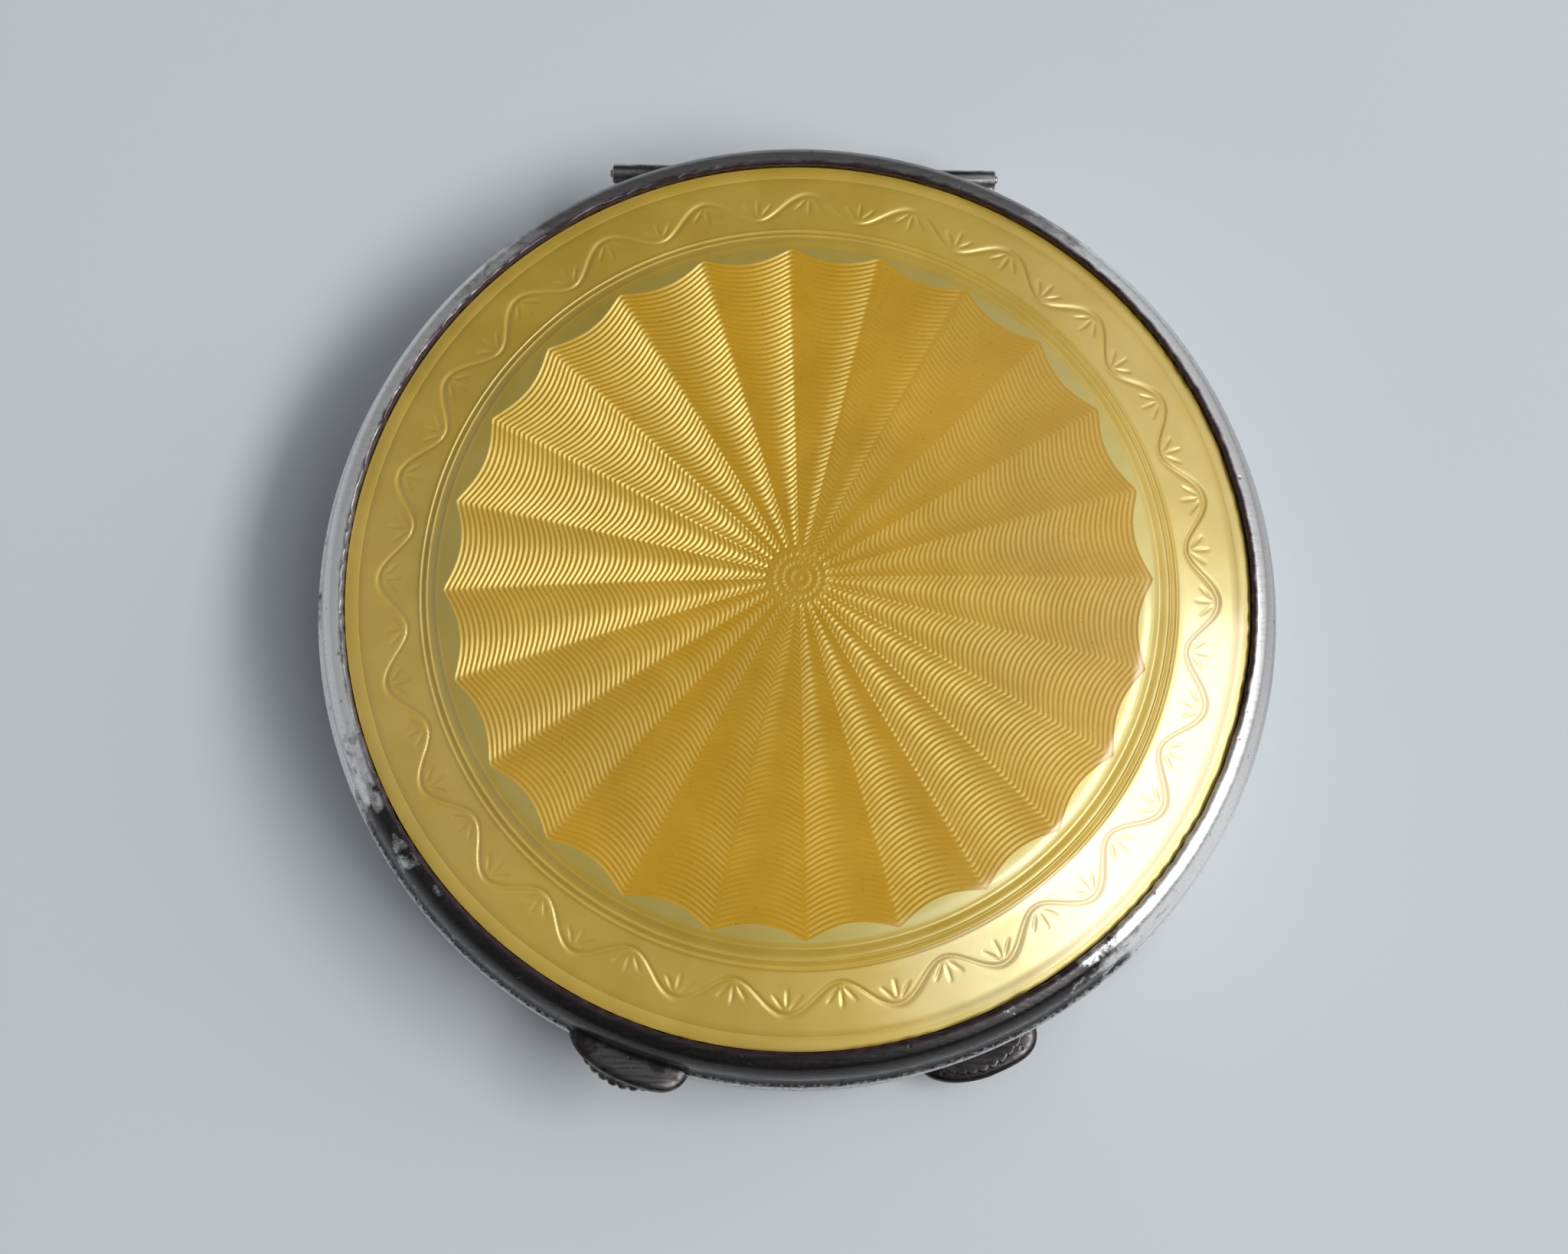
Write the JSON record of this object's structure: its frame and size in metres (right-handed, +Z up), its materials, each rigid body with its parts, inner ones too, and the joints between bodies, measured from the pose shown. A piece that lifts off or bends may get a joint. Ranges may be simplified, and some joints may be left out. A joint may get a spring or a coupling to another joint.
{
  "type": "pill box",
  "caption": "Round double pill box: domed enamelled top lid and plain bottom lid, each hinged at the back to a slim middle body.",
  "frame": {"origin": "centre of the flat underside of the bottom lid", "axes": "+Z up through the centre of the enamelled lid, +Y towards the hinges at the back, +X to the right seen from the front"},
  "size_m": [0.05, 0.0505, 0.0127],
  "materials": {
    "silver": "old silver, polished but tarnished dark in patches, with small pits and scratches",
    "gilt": "soft gilding over silver",
    "guilloche_ground": "engine-turned metal with fine scalloped rings and an engraved vine border, seen golden through the enamel",
    "enamel": "clear golden-yellow enamel, polished smooth and glossy",
    "pin_wire": "drawn wire, slightly tarnished"
  },
  "bodies": {
    "body": {"middle_band": "silver", "divider_plate": "gilt", "top_snap_bezel": "gilt", "bottom_snap_bezel": "gilt", "hinge_bearer_left": "silver", "hinge_bearer_right": "silver", "top_body_knuckle_left": "silver", "top_body_knuckle_centre": "silver", "top_body_knuckle_right": "silver", "bottom_body_knuckle_left": "silver", "bottom_body_knuckle_centre": "silver", "bottom_body_knuckle_right": "silver", "top_hinge_pin": "pin_wire", "bottom_hinge_pin": "pin_wire"},
    "top_lid": {"top_lid_rim": "silver", "guilloche_plate": "guilloche_ground", "enamel_layer": "enamel", "top_lid_lining": "gilt", "top_thumb_piece": "silver", "top_lid_knuckle_left": "silver", "top_lid_knuckle_right": "silver"},
    "bottom_lid": {"bottom_lid_shell": "silver", "bottom_thumb_piece": "silver", "bottom_lid_knuckle_left": "silver", "bottom_lid_knuckle_right": "silver"}
  },
  "joints": [
    {"name": "top_lid_hinge", "type": "hinge", "parent": "body", "child": "top_lid", "pos_m": [0, 0.0242, 0.0053], "axis": [-1, 0, 0], "range_deg": [0, 95]},
    {"name": "bottom_lid_hinge", "type": "hinge", "parent": "body", "child": "bottom_lid", "pos_m": [0, 0.0242, 0.0032], "axis": [1, 0, 0], "range_deg": [0, 95]}
  ]
}
